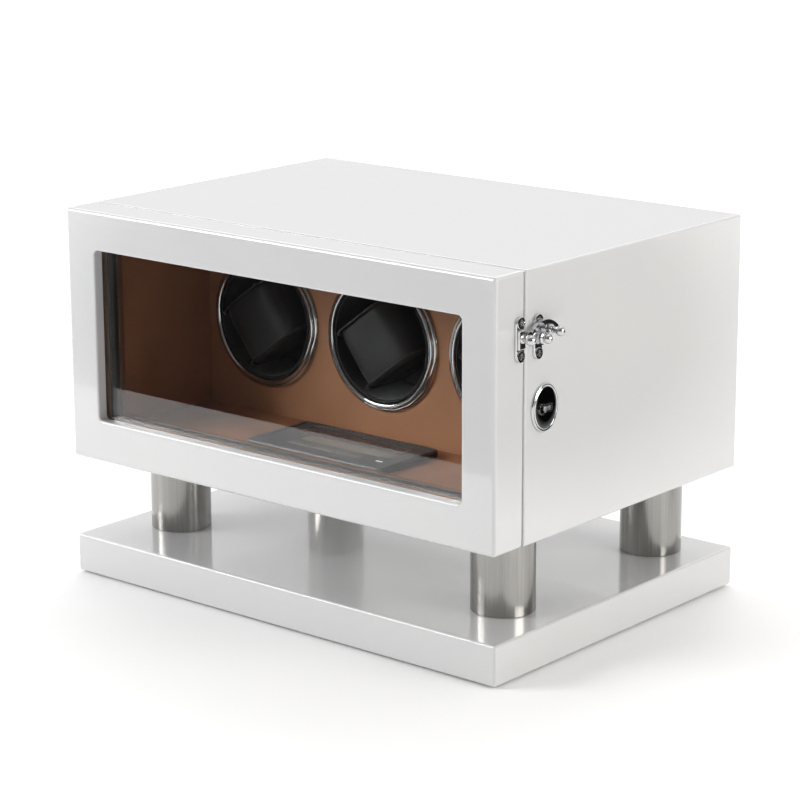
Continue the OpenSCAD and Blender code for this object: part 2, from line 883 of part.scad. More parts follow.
felt_pad();
plinth();
support_posts();
tie_bolts();
cabinet_bottom();
cabinet_top();
cabinet_left_side();
cabinet_right_side();
back_panel();
floor_lining();
wall_linings();
rotor_panel();
bezel_rings();
drive_board();
motor_plates();
spindle_bushes();
motors();
cup(0);  // cup_1
cup(1);  // cup_2
cup(2);  // cup_3
spindle(0);  // spindle_1
spindle(1);  // spindle_2
spindle(2);  // spindle_3
pinion(0);  // pinion_1
pinion(1);  // pinion_2
pinion(2);  // pinion_3
cushion(0);  // cushion_1
cushion(1);  // cushion_2
cushion(2);  // cushion_3
console_housing();
console_display();
controller_board();
key(0);  // key_1
key(1);  // key_2
key(2);  // key_3
dc_inlet();
switch_bezel();
power_rocker();
door_left_stile();
door_right_stile();
door_top_rail();
door_bottom_rail();
door_glass();
glass_bead();
door_gasket();
door_lining();
hinge_cabinet_leaves();
hinge_door_leaves();
hinge_pins();
latch_keeper();
latch_plate();
latch_pivot();
latch_hook();
lock_escutcheon();
lock_case();
lock_plug();
lock_bolt();
strike_plate();
door_screws();
cabinet_screws();
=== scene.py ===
# A white lacquered watch winder box for three watches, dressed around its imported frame.
import bmesh
import bpy
import math
from mathutils import Matrix, Vector


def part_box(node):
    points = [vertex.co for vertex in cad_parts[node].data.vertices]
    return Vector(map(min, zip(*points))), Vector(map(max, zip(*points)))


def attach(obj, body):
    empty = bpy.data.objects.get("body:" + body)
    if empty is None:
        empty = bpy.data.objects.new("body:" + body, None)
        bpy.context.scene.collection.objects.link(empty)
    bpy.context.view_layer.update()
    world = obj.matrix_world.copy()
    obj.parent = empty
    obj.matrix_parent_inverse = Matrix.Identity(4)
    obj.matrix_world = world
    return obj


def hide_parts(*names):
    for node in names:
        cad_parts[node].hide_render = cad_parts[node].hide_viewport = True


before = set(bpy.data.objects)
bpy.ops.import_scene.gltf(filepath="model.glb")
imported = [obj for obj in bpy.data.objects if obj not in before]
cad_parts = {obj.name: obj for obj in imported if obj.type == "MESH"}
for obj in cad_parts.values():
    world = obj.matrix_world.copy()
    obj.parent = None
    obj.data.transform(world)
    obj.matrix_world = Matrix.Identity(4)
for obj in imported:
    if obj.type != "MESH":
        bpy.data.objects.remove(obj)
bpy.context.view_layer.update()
mm = 0.001

# The camera: a long lens, a little above the box and off its latch corner. It is aimed at the
# middle of the object and tilted by a fifth of a degree.
camera_data = bpy.data.cameras.new("camera")
camera_data.lens = 120.6
camera_data.sensor_width = 36
camera = bpy.data.objects.new("camera", camera_data)
bpy.context.scene.collection.objects.link(camera)
camera_place = Vector((1.0484, -1.2492, 0.5402))
camera_aim = Vector((0.0023, -0.0041, 0.1189))
camera_roll = math.radians(-0.196)
camera_turn = (camera_aim - camera_place).to_track_quat("-Z", "Y").to_matrix()
camera_turn = camera_turn @ Matrix.Rotation(camera_roll, 3, "Z")
camera.matrix_world = Matrix.Translation(camera_place) @ camera_turn.to_4x4()
bpy.context.scene.camera = camera


# The felt under the plinth: one dense black sheet, glued on and cut a little smaller than the
# slab. Its fibres are a fine noise.
def new_finish(name, colour, roughness, metallic=0.0):
    finish = bpy.data.materials.new(name)
    finish.use_nodes = True
    shader = finish.node_tree.nodes["Principled BSDF"]
    shader.inputs["Base Color"].default_value = (*colour, 1)
    shader.inputs["Roughness"].default_value = roughness
    shader.inputs["Metallic"].default_value = metallic
    return finish, shader


def pattern(finish, kind, scale, stretch=(1, 1, 1), **settings):
    """A noise or cell texture fixed to the piece; the scale is in features to the metre."""
    nodes, links = finish.node_tree.nodes, finish.node_tree.links
    place = nodes.new("ShaderNodeTexCoord")
    turn = nodes.new("ShaderNodeMapping")
    turn.inputs["Scale"].default_value = stretch
    texture = nodes.new(kind)
    texture.inputs["Scale"].default_value = scale
    for setting, value in settings.items():
        texture.inputs[setting].default_value = value
    links.new(place.outputs["Object"], turn.inputs["Vector"])
    links.new(turn.outputs["Vector"], texture.inputs["Vector"])
    return texture.outputs["Fac" if kind == "ShaderNodeTexNoise" else "Distance"]


def raise_surface(finish, shader, height, strength, depth):
    nodes, links = finish.node_tree.nodes, finish.node_tree.links
    bump = nodes.new("ShaderNodeBump")
    bump.inputs["Strength"].default_value = strength
    bump.inputs["Distance"].default_value = depth
    links.new(height, bump.inputs["Height"])
    if shader.inputs["Normal"].is_linked:
        links.new(shader.inputs["Normal"].links[0].from_socket, bump.inputs["Normal"])
    links.new(bump.outputs["Normal"], shader.inputs["Normal"])


def vary_colour(finish, shader, amount, dark, light):
    nodes, links = finish.node_tree.nodes, finish.node_tree.links
    ramp = nodes.new("ShaderNodeValToRGB")
    ramp.color_ramp.elements[0].position = 0.3
    ramp.color_ramp.elements[0].color = (*dark, 1)
    ramp.color_ramp.elements[1].position = 0.7
    ramp.color_ramp.elements[1].color = (*light, 1)
    links.new(amount, ramp.inputs["Fac"])
    links.new(ramp.outputs["Color"], shader.inputs["Base Color"])


def vary_roughness(finish, shader, amount, low, high):
    nodes, links = finish.node_tree.nodes, finish.node_tree.links
    spread = nodes.new("ShaderNodeMapRange")
    spread.inputs["From Min"].default_value = 0.3
    spread.inputs["From Max"].default_value = 0.7
    spread.inputs["To Min"].default_value = low
    spread.inputs["To Max"].default_value = high
    links.new(amount, spread.inputs["Value"])
    links.new(spread.outputs["Result"], shader.inputs["Roughness"])


def dress_node(name, finish):
    """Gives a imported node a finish, and leaves its mesh alone."""
    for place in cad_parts[name].material_slots:
        place.material = finish


felt_finish, shader = new_finish("felt", (0.05, 0.05, 0.055), 0.95)
shader.inputs["Sheen Weight"].default_value = 0.4
fibres = pattern(felt_finish, "ShaderNodeTexNoise", 2500, Detail=6)
raise_surface(felt_finish, shader, fibres, 0.6, 0.0004)
vary_colour(felt_finish, shader, fibres, (0.03, 0.03, 0.033), (0.08, 0.08, 0.085))
dress_node("felt_pad", felt_finish)


# The plinth: a thick board, primed and sprayed with many coats of white piano lacquer and
# polished until it mirrors the posts. Its edges are eased, and four bolt holes open below.
def only(piece):
    if bpy.context.object and bpy.context.object.mode != "OBJECT":
        bpy.ops.object.mode_set(mode="OBJECT")
    bpy.ops.object.select_all(action="DESELECT")
    piece.select_set(True)
    bpy.context.view_layer.objects.active = piece


def start_block(name, low, high):
    low, high = Vector(low), Vector(high)
    bpy.ops.object.select_all(action="DESELECT")
    bpy.ops.mesh.primitive_cube_add(size=1, location=(low + high) / 2)
    piece = bpy.context.object
    piece.name = name
    piece.scale = high - low
    bpy.ops.object.transform_apply(location=True, rotation=True, scale=True)
    return piece


AXIS_TURNS = {"X": (0, math.pi / 2, 0), "Y": (math.pi / 2, 0, 0), "Z": (0, 0, 0)}


def start_rod(name, radius, start, end, axis, sides=64):
    """A cylinder between two centres that lie along one axis."""
    start, end = Vector(start), Vector(end)
    bpy.ops.object.select_all(action="DESELECT")
    bpy.ops.mesh.primitive_cylinder_add(vertices=sides, radius=radius, depth=(end - start).length,
        location=(start + end) / 2, rotation=AXIS_TURNS[axis])
    piece = bpy.context.object
    piece.name = name
    bpy.ops.object.transform_apply(location=True, rotation=True, scale=True)
    return piece


def pick(piece, kind, wanted):
    """Edit mode on one piece, with only its faces, edges or vertices that are wanted selected."""
    only(piece)
    bpy.ops.object.mode_set(mode="EDIT")
    bpy.ops.mesh.select_mode(type=kind)
    bpy.ops.mesh.select_all(action="DESELECT")
    mesh = bmesh.from_edit_mesh(piece.data)
    for part in {"FACE": mesh.faces, "EDGE": mesh.edges, "VERT": mesh.verts}[kind]:
        if wanted(part):
            part.select_set(True)
    bmesh.update_edit_mesh(piece.data)


def ease_edges(piece, wanted, width, segments=4):
    pick(piece, "EDGE", wanted)
    bpy.ops.mesh.bevel(offset=width, segments=segments, affect="EDGES", clamp_overlap=True)
    bpy.ops.object.mode_set(mode="OBJECT")


def every_edge(edge):
    return True


def apply_modifiers(piece):
    only(piece)
    for modifier in list(piece.modifiers):
        bpy.ops.object.modifier_apply(modifier=modifier.name)


def cut(piece, cutter):
    carve = piece.modifiers.new("carve", "BOOLEAN")
    carve.operation = "DIFFERENCE"
    carve.solver = "EXACT"
    carve.object = cutter
    apply_modifiers(piece)
    bpy.data.objects.remove(cutter)


def polish(piece, angle=35):
    """Smooth over the eased edges, with the flat faces kept truly flat."""
    only(piece)
    bpy.ops.object.shade_smooth_by_angle(angle=math.radians(angle))
    flats = piece.modifiers.new("flats", "WEIGHTED_NORMAL")
    flats.keep_sharp = True
    apply_modifiers(piece)


def fit(piece, finish, body, slot, *nodes):
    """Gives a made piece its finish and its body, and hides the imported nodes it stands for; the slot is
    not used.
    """
    piece.data.materials.clear()
    piece.data.materials.append(finish)
    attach(piece, body)
    if nodes:
        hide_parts(*nodes)


lacquer, shader = new_finish("white_lacquer", (0.61, 0.61, 0.61), 0.16)
shader.inputs["Coat Weight"].default_value = 1.0
shader.inputs["Coat Roughness"].default_value = 0.03
shader.inputs["Coat IOR"].default_value = 1.6
orange_peel = pattern(lacquer, "ShaderNodeTexNoise", 90, Detail=1)
raise_surface(lacquer, shader, orange_peel, 0.03, 0.0002)
haze = pattern(lacquer, "ShaderNodeTexNoise", 14, Detail=3)
vary_colour(lacquer, shader, haze, (0.60, 0.602, 0.606), (0.61, 0.61, 0.61))

plinth_low, plinth_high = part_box("plinth")
plinth = start_block("plinth_slab", plinth_low, plinth_high)
ease_edges(plinth, every_edge, 1.4 * mm)
bolts_low, bolts_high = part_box("tie_bolts")
bolt_head_radius = 5.8 * mm
for x in (bolts_low.x + bolt_head_radius, bolts_high.x - bolt_head_radius):
    for y in (bolts_low.y + 5 * mm, bolts_high.y - 5 * mm):
        cut(plinth, start_rod("counterbore", 7 * mm, (x, y, 0), (x, y, 6.2 * mm), "Z", 32))
polish(plinth)
fit(plinth, lacquer, "cabinet", "white_lacquer", "plinth")

# The tie bolts: plated hexagon bolts that clamp plinth, posts and cabinet together.
plated_steel, shader = new_finish("plated_steel", (0.74, 0.74, 0.73), 0.26, 1.0)
plating = pattern(plated_steel, "ShaderNodeTexNoise", 900, Detail=3)
vary_roughness(plated_steel, shader, plating, 0.18, 0.34)
dress_node("tie_bolts", plated_steel)

# The posts: four lengths of stainless tube, turned square, with a fine satin grain that runs
# down them and a small bright chamfer at each end.
post_low, post_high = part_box("support_posts")
post_radius = 19.35 * mm
chamfer = 0.5 * mm
satin_steel, shader = new_finish("satin_steel", (0.36, 0.352, 0.335), 0.22, 1.0)
grain = pattern(satin_steel, "ShaderNodeTexNoise", 900, stretch=(1, 1, 0.012), Detail=4)
raise_surface(satin_steel, shader, grain, 0.35, 0.00012)
vary_colour(satin_steel, shader, grain, (0.32, 0.312, 0.296), (0.40, 0.39, 0.372))
vary_roughness(satin_steel, shader, grain, 0.17, 0.27)
posts = 0
for x in (post_low.x + post_radius, post_high.x - post_radius):
    for y in (post_low.y + post_radius, post_high.y - post_radius):
        posts += 1
        post = start_rod(f"post_{posts}", post_radius, (x, y, post_low.z), (x, y, post_high.z), "Z", 128)
        ease_edges(post, lambda edge: edge.calc_face_angle(0) > 1, chamfer, 2)
        polish(post, 25)
        fit(post, satin_steel, "cabinet", "post_steel", "support_posts")


# The cabinet: four boards glued into a sleeve and lacquered as one, so no joints show. The back
# is rebated for a loose panel. The left front edge is let in for hinge leaves, and the right for
# the lock.
shell_boards = ("cabinet_bottom", "cabinet_top", "cabinet_left_side", "cabinet_right_side")
bottom_low, bottom_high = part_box("cabinet_bottom")
top_low, top_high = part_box("cabinet_top")
lining_low, lining_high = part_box("wall_linings")
back_low, back_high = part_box("back_panel")
inner_low = Vector((lining_low.x, bottom_low.y, bottom_high.z))
inner_high = Vector((lining_high.x, bottom_high.y, top_low.z))
past = Vector((0, 5 * mm, 0))
shell = start_block("cabinet_shell", bottom_low, top_high)
ease_edges(shell, every_edge, 1.4 * mm)
cut(shell, start_block("inside", inner_low - past, inner_high + past))
cut(shell, start_block("rebate", back_low, back_high + past))
leaves_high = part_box("hinge_cabinet_leaves")[1]
pins_low, pins_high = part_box("hinge_pins")
hinge_length = 36 * mm
hinge_middles = (pins_low.z + 19.2 * mm, pins_high.z - 19.2 * mm)
leaf_thickness = 1.2 * mm


def hinge_pocket(front, back):
    """Cutters for the two leaves, as deep as a leaf is thick."""
    for middle in hinge_middles:
        yield start_block("leaf_pocket", (bottom_low.x - 5 * mm, front, middle - hinge_length / 2),
            (leaves_high.x, back, middle + hinge_length / 2))


for pocket in hinge_pocket(bottom_low.y - 1 * mm, bottom_low.y + leaf_thickness):
    cut(shell, pocket)
case_low, case_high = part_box("lock_case")
cut(shell, start_block("lock_pocket", case_low - past / 5, case_high))
plug_low, plug_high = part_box("lock_plug")
keyhole_y = (plug_low.y + plug_high.y) / 2
keyhole_z = (plug_low.z + plug_high.z) / 2
cut(shell, start_rod("plug_hole", 4.8 * mm, (case_high.x - mm, keyhole_y, keyhole_z),
    (plug_high.x + 5 * mm, keyhole_y, keyhole_z), "X"))
polish(shell)
fit(shell, lacquer, "cabinet", "white_lacquer", *shell_boards)


# The linings: board wrapped in tan leather, with turned-over edges. The floor has a way through
# for the console, and the walls and the ceiling are plain.
def leather(name, dark, light, roughness):
    finish, shader = new_finish(name, light, roughness)
    shader.inputs["Specular IOR Level"].default_value = 0.35
    pebbles = pattern(finish, "ShaderNodeTexVoronoi", 1300, Randomness=1.0)
    raise_surface(finish, shader, pebbles, 0.35, 0.00012)
    creases = pattern(finish, "ShaderNodeTexNoise", 60, Detail=5)
    raise_surface(finish, shader, creases, 0.12, 0.0008)
    blotches = pattern(finish, "ShaderNodeTexNoise", 22, Detail=4)
    vary_colour(finish, shader, blotches, dark, light)
    vary_roughness(finish, shader, creases, roughness - 0.06, roughness + 0.1)
    return finish


tan_leather = leather("tan_leather", (0.34, 0.15, 0.072), (0.40, 0.185, 0.095), 0.5)
turned_edge = 1.0 * mm
floor_low, floor_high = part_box("floor_lining")
console_low, console_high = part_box("console_housing")
skirt_margin = Vector((7 * mm, 5.5 * mm, 0))
floor_lining = start_block("floor_leather", floor_low, floor_high)
ease_edges(floor_lining, every_edge, turned_edge)
console_foot = Vector((console_high.x, console_high.y, floor_high.z + 5 * mm))
cut(floor_lining, start_block("console_way", console_low + skirt_margin - past,
    console_foot - skirt_margin))
polish(floor_lining)
fit(floor_lining, tan_leather, "cabinet", "tan_leather", "floor_lining")

ceiling_t = 6.8 * mm
wall_t = 7 * mm
wall_bottom = floor_high.z
wall_top = lining_high.z - ceiling_t
lining_boards = {
    "ceiling_leather": ((lining_low.x, lining_low.y, wall_top), lining_high),
    "left_wall_leather": ((lining_low.x, lining_low.y, wall_bottom),
        (lining_low.x + wall_t, lining_high.y, wall_top)),
    "right_wall_leather": ((lining_high.x - wall_t, lining_low.y, wall_bottom),
        (lining_high.x, lining_high.y, wall_top)),
}
for name, (low, high) in lining_boards.items():
    board = start_block(name, low, high)
    ease_edges(board, every_edge, turned_edge)
    polish(board)
    fit(board, tan_leather, "cabinet", "tan_leather", "wall_linings")

# The rotor panel: a leather-covered board with three round openings, whose leather is turned
# into the holes.
rotor_count = 3
cups = [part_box(f"cup_{number + 1}") for number in range(rotor_count)]
rotor_axes = [(low + high) / 2 for low, high in cups]
panel_low, panel_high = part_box("rotor_panel")
rotor_panel = start_block("rotor_panel_leather", panel_low, panel_high)
for middle in rotor_axes:
    cut(rotor_panel, start_rod("opening", 41.5 * mm, (middle.x, panel_low.y - 5 * mm, middle.z),
        (middle.x, panel_high.y + 5 * mm, middle.z), "Y", 128))
polish(rotor_panel)
fit(rotor_panel, tan_leather, "cabinet", "tan_leather", "rotor_panel")


# The bezel rings: turned and chromed rings pressed into the openings. Each has a round bead
# inside, a step, and a thin flange that lies on the leather.
def turn_profile(name, outline, centre, axis, steps):
    """A closed or open outline of (along, radius) points, spun once round an axis."""
    along = {"X": Vector((1, 0, 0)), "Y": Vector((0, 1, 0)), "Z": Vector((0, 0, 1))}[axis]
    out = Vector((0, 0, 1)) if axis != "Z" else Vector((1, 0, 0))
    centre = Vector(centre)
    points = [centre + along * position + out * radius for position, radius in outline]
    bpy.ops.object.select_all(action="DESELECT")
    bpy.ops.mesh.primitive_plane_add(size=1, location=points[0])
    piece = bpy.context.object
    piece.name = name
    bpy.ops.object.transform_apply(location=True, rotation=True, scale=True)
    bpy.ops.object.mode_set(mode="EDIT")
    bpy.ops.mesh.select_mode(type="VERT")
    bpy.ops.mesh.select_all(action="SELECT")
    bpy.ops.mesh.merge(type="CENTER")
    for start, end in zip(points, points[1:]):
        bpy.ops.mesh.extrude_region_move(TRANSFORM_OT_translate={"value": end - start})
    bpy.ops.mesh.select_all(action="SELECT")
    bpy.ops.mesh.spin(steps=steps, angle=2 * math.pi, center=centre, axis=along)
    bpy.ops.mesh.select_all(action="SELECT")
    bpy.ops.mesh.remove_doubles(threshold=2e-6)
    bpy.ops.mesh.normals_make_consistent(inside=False)
    bpy.ops.object.mode_set(mode="OBJECT")
    return piece


def arc(middle, radius, start, end, steps):
    """Points on an arc, in degrees, as (along, radius) pairs."""
    angles = [math.radians(start + (end - start) * step / steps) for step in range(steps + 1)]
    return [(middle[0] + radius * math.cos(a), middle[1] + radius * math.sin(a)) for a in angles]


chrome, shader = new_finish("chrome", (0.60, 0.60, 0.61), 0.05, 1.0)
wipes = pattern(chrome, "ShaderNodeTexNoise", 240, Detail=3)
vary_roughness(chrome, shader, wipes, 0.03, 0.08)
ring_bore = 38.4 * mm
bead = 1.85 * mm
flange_radius = 44.4 * mm
ring_face = panel_low.y
bead_middle = (ring_face - 2.1 * mm, ring_bore + bead)
ring_outline = [(ring_face + 7.9 * mm, ring_bore), (bead_middle[0], ring_bore)]
ring_outline += arc(bead_middle, bead, -90, -270, 12)[1:]
ring_outline += arc((ring_face - 0.3 * mm, ring_bore + 2 * bead + 0.1 * mm), 2.2 * mm, 178, 92, 8)
ring_outline += [(ring_face - 0.02 * mm, flange_radius), (ring_face - 0.02 * mm, 41.35 * mm)]
ring_outline += [(ring_face + 7.9 * mm, 41.35 * mm), (ring_face + 7.9 * mm, ring_bore)]
for number, middle in enumerate(rotor_axes, 1):
    ring = turn_profile(f"bezel_ring_{number}", ring_outline, (middle.x, 0, middle.z), "Y", 144)
    polish(ring, 40)
    fit(ring, chrome, "cabinet", "chrome", "bezel_rings")

# The rotor cups: moulded shells, flocked black inside and out, each with a rolled lip.
flock, shader = new_finish("black_flock", (0.012, 0.012, 0.013), 0.85)
shader.inputs["Sheen Weight"].default_value = 0.25
shader.inputs["Sheen Roughness"].default_value = 0.4
nap = pattern(flock, "ShaderNodeTexNoise", 3000, Detail=4)
raise_surface(flock, shader, nap, 0.4, 0.0002)
cup_wall = 1.7 * mm
cup_floor = 2.4 * mm
hub_hole = 4 * mm
for number, (low, high) in enumerate(cups, 1):
    middle = rotor_axes[number - 1]
    radius = (high.x - low.x) / 2
    lip = cup_wall / 2
    outline = [(high.y, hub_hole), (high.y, radius - 2 * mm)]
    outline += arc((high.y - 2 * mm, radius - 2 * mm), 2 * mm, 0, 90, 5)
    outline += arc((low.y + lip, radius - lip), lip, 90, 270, 8)
    inner = radius - cup_wall
    inside = high.y - cup_floor
    outline += arc((inside - 3 * mm, inner - 3 * mm), 3 * mm, 90, 0, 6)
    outline += [(inside, hub_hole), (high.y, hub_hole)]
    cup = turn_profile(f"rotor_cup_{number}", outline, (middle.x, 0, middle.z), "Y", 128)
    polish(cup, 40)
    fit(cup, flock, f"rotor_{number}", "black_velvet", f"cup_{number}")


# The cushions: foam rolls in soft black leather that a strap closes round. The roll swells a
# little against its stitching, and each end is finished with a piped seam.
soft_leather = leather("black_leather", (0.020, 0.020, 0.021), (0.032, 0.032, 0.034), 0.36)
cushion_turn = math.radians(53)
cushion_low, cushion_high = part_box("cushion_2")
roll_length = 42 * mm
roll_width = 50 * mm
roll_depth = cushion_high.y - cushion_low.y - 4 * mm
roll_corner = 12.5 * mm
voxel = 5 * mm
most_swell = 2.2 * mm

# The roll is built about the world's origin, lying along X, and set in its cup once it is done.
half_roll = Vector((roll_length, roll_depth, roll_width)) / 2
roll = start_block("cushion_roll", -half_roll, half_roll)
ease_edges(roll, lambda edge: abs(edge.verts[0].co.x - edge.verts[1].co.x) > 1 * mm, roll_corner, 8)
ease_edges(roll, lambda edge: abs(edge.verts[0].co.x - edge.verts[1].co.x) < 1e-6
    and edge.calc_face_angle(0) > 1, 2.5 * mm, 3)
lump = roll.modifiers.new("lump", "REMESH")
lump.mode = "VOXEL"
lump.voxel_size = voxel
apply_modifiers(roll)
slack_shape = [vertex.co.copy() for vertex in roll.data.vertices]
stuffing = roll.modifiers.new("stuffing", "CLOTH")
stuffing.settings.use_pressure = True
stuffing.settings.uniform_pressure_force = 4
stuffing.settings.effector_weights.gravity = 0
stuffing.point_cache.frame_start = 1
stuffing.point_cache.frame_end = 20
for moment in range(1, 21):
    bpy.context.scene.frame_set(moment)
apply_modifiers(roll)
bpy.context.scene.frame_set(1)
for vertex, start in zip(roll.data.vertices, slack_shape):
    move = vertex.co - start
    vertex.co = start + move.normalized() * min(move.length, most_swell)
rounding = roll.modifiers.new("rounding", "SUBSURF")
rounding.levels = rounding.render_levels = 1
apply_modifiers(roll)
only(roll)
bpy.ops.object.shade_smooth()


def end_piping(name, place, thickness):
    """A leather cord that follows the end of the roll."""
    bpy.ops.object.select_all(action="DESELECT")
    bpy.ops.mesh.primitive_plane_add(size=1, location=(place, 0, 0), rotation=(0, math.pi / 2, 0))
    cord = bpy.context.object
    cord.name = name
    cord.scale = (roll_width + 1 * mm, roll_depth + 1 * mm, 1)
    bpy.ops.object.transform_apply(location=True, rotation=True, scale=True)
    bpy.ops.object.mode_set(mode="EDIT")
    bpy.ops.mesh.select_all(action="SELECT")
    bpy.ops.mesh.bevel(offset=roll_corner, segments=10, affect="VERTICES")
    bpy.ops.mesh.select_all(action="SELECT")
    bpy.ops.mesh.delete(type="ONLY_FACE")
    bpy.ops.object.mode_set(mode="OBJECT")
    bpy.ops.object.convert(target="CURVE")
    cord.data.bevel_depth = thickness / 2
    cord.data.bevel_resolution = 3
    bpy.ops.object.convert(target="MESH")
    bpy.ops.object.shade_smooth()
    return cord


pipings = [end_piping(f"end_piping_{side}", place, 1.8 * mm)
    for side, place in (("a", 1.8 * mm - half_roll.x), ("b", half_roll.x - 1.8 * mm))]
for number, middle in enumerate(rotor_axes, 1):
    seat = Vector((middle.x, (cushion_low.y + cushion_high.y) / 2, middle.z))
    for master in (roll, *pipings):
        only(master)
        bpy.ops.object.duplicate()
        sewn = bpy.context.object
        sewn.name = f"{master.name}_{number}"
        sewn.rotation_euler = (0, cushion_turn, 0)
        sewn.location = seat
        bpy.ops.object.transform_apply(location=True, rotation=True, scale=True)
        fit(sewn, soft_leather, f"watch_cushion_{number}", "black_leather", f"cushion_{number}")
for master in (roll, *pipings):
    bpy.data.objects.remove(master)


# The drive train behind the panel: a board, and for each rotor a spindle and wheel in two bronze
# bushes, a plate on pillars, and a small motor whose pinion drives the wheel.
def machined(name, colour, roughness, metallic, scale):
    finish, shader = new_finish(name, colour, roughness, metallic)
    marks = pattern(finish, "ShaderNodeTexNoise", scale, Detail=4)
    vary_roughness(finish, shader, marks, roughness - 0.08, roughness + 0.1)
    raise_surface(finish, shader, marks, 0.15, 0.0001)
    return finish


plain_board = leather("plain_board", (0.40, 0.28, 0.17), (0.52, 0.39, 0.25), 0.7)
dress_node("drive_board", plain_board)
dress_node("motor_plates", machined("grey_moulding", (0.42, 0.42, 0.42), 0.5, 0, 700))
dress_node("spindle_bushes", machined("sintered_bronze", (0.55, 0.36, 0.16), 0.42, 1, 1500))
dress_node("motors", machined("motor_can", (0.48, 0.48, 0.48), 0.32, 1, 500))
turned_steel = machined("turned_steel", (0.55, 0.55, 0.55), 0.3, 1, 800)
cut_brass = machined("cut_brass", (0.72, 0.50, 0.20), 0.3, 1, 800)
for number in range(1, rotor_count + 1):
    dress_node(f"spindle_{number}", turned_steel)
    dress_node(f"pinion_{number}", cut_brass)


# The console: a dark moulded bezel that drops into the floor leather. It carries a display behind
# a window, a plainer dark band behind it, three flat keys and a small white status mark whose faint glow is
# a painted highlight.
console_dark = machined("console_moulding", (0.045, 0.048, 0.055), 0.38, 0, 1200)
band_dark = machined("console_band", (0.028, 0.031, 0.040), 0.22, 0, 900)
key_face = machined("key_face", (0.16, 0.155, 0.125), 0.5, 0, 1400)
display_face, shader = new_finish("display_face", (0.15, 0.147, 0.12), 0.2)
cells = pattern(display_face, "ShaderNodeTexVoronoi", 75, stretch=(1, 0.01, 0.01), Randomness=0.0)
vary_colour(display_face, shader, cells, (0.19, 0.185, 0.15), (0.145, 0.142, 0.118))
glow_mark_white, shader = new_finish("status_mark_painted_glow", (0.8, 0.8, 0.78), 0.3)
# The white mark's faint emission is a painted highlight; the mark is no lamp.
shader.inputs["Emission Color"].default_value = (1, 1, 1, 1)
shader.inputs["Emission Strength"].default_value = 0.25
speckle = pattern(glow_mark_white, "ShaderNodeTexNoise", 900, Detail=2)
vary_roughness(glow_mark_white, shader, speckle, 0.25, 0.4)
rim = 3.4 * mm
recess = 0.5 * mm
console_top = console_high.z
housing = start_block("console_bezel", (console_low.x, console_low.y, floor_high.z + 0.05 * mm),
    console_high)
ease_edges(housing, lambda edge: abs(edge.verts[0].co.z - edge.verts[1].co.z) > 1 * mm, 4 * mm, 6)
ease_edges(housing, lambda edge: min(edge.verts[0].co.z, edge.verts[1].co.z) > console_top - 1e-6,
    1.6 * mm, 5)
pick(housing, "FACE", lambda face: face.normal.z > 0.99)
bpy.ops.mesh.inset(thickness=rim - 1.2 * mm)
bpy.ops.mesh.extrude_region_move(TRANSFORM_OT_translate={"value": (0, 0, -recess)})
bpy.ops.object.mode_set(mode="OBJECT")
display_low, display_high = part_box("console_display")
keys = [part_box(f"key_{number + 1}") for number in range(3)]
window_margin = Vector((0.15 * mm, 0.15 * mm, 0))
well_floor = floor_high.z + 0.6 * mm
cut(housing, start_block("display_window", (display_low - window_margin).xy[:] + (well_floor,),
    (display_high + window_margin).xy[:] + (console_top + 1 * mm,)))
for low, high in keys:
    cut(housing, start_block("key_window", (low - 2 * window_margin).xy[:] + (floor_high.z - 1 * mm,),
        (high + 2 * window_margin).xy[:] + (console_top + 1 * mm,)))
polish(housing)
fit(housing, console_dark, "cabinet", "console_plastic", "console_housing")

skirt_low = console_low + skirt_margin + window_margin * 4
skirt_high = console_high - skirt_margin - window_margin * 4
skirt = start_block("console_skirt", skirt_low.xy[:] + (bottom_high.z + 0.1 * mm,),
    skirt_high.xy[:] + (floor_high.z,))
cut(skirt, start_block("skirt_inside", (skirt_low.x + 2 * mm, skirt_low.y + 2 * mm, bottom_high.z - 1 * mm),
    (skirt_high.x - 2 * mm, skirt_high.y - 2 * mm, floor_high.z + 1 * mm)))
polish(skirt)
fit(skirt, console_dark, "cabinet", "console_plastic", "console_housing")

console_face = console_top - recess
band = start_block("console_band", (-41 * mm, -50.5 * mm, console_face - 0.4 * mm),
    (43 * mm, -37.5 * mm, console_face + 0.12 * mm))
ease_edges(band, every_edge, 0.1 * mm, 2)
polish(band)
fit(band, band_dark, "cabinet", "console_plastic", "console_housing")

display = start_block("display_pane", (display_low.x, display_low.y, well_floor + 0.1 * mm),
    (display_high.x, display_high.y, console_face - 0.15 * mm))
ease_edges(display, every_edge, 0.2 * mm, 2)
polish(display)
fit(display, display_face, "cabinet", "display_glass", "console_display")

for number, (low, high) in enumerate(keys, 1):
    key = start_block(f"key_cap_{number}", (low.x, low.y, floor_high.z + 1 * mm),
        (high.x, high.y, console_face + 0.25 * mm))
    ease_edges(key, lambda edge: min(edge.verts[0].co.z, edge.verts[1].co.z) > console_face, 0.45 * mm, 3)
    polish(key)
    fit(key, key_face, f"control_key_{number}", "key_plastic", f"key_{number}")
# The small white mark that carries the painted highlight glow.
status_mark_middle = Vector((42.6 * mm, -70.5 * mm, console_face))
status_mark_pane = start_block("status_mark_painted_glow", status_mark_middle - Vector((2.4 * mm, 0.9 * mm, 0.3 * mm)),
    status_mark_middle + Vector((2.4 * mm, 0.9 * mm, 0.25 * mm)))
ease_edges(status_mark_pane, every_edge, 0.22 * mm, 3)
polish(status_mark_pane)
fit(status_mark_pane, glow_mark_white, "cabinet", "console_plastic", "console_housing")
board_green = machined("solder_mask", (0.015, 0.13, 0.05), 0.35, 0, 1500)
dress_node("controller_board", board_green)


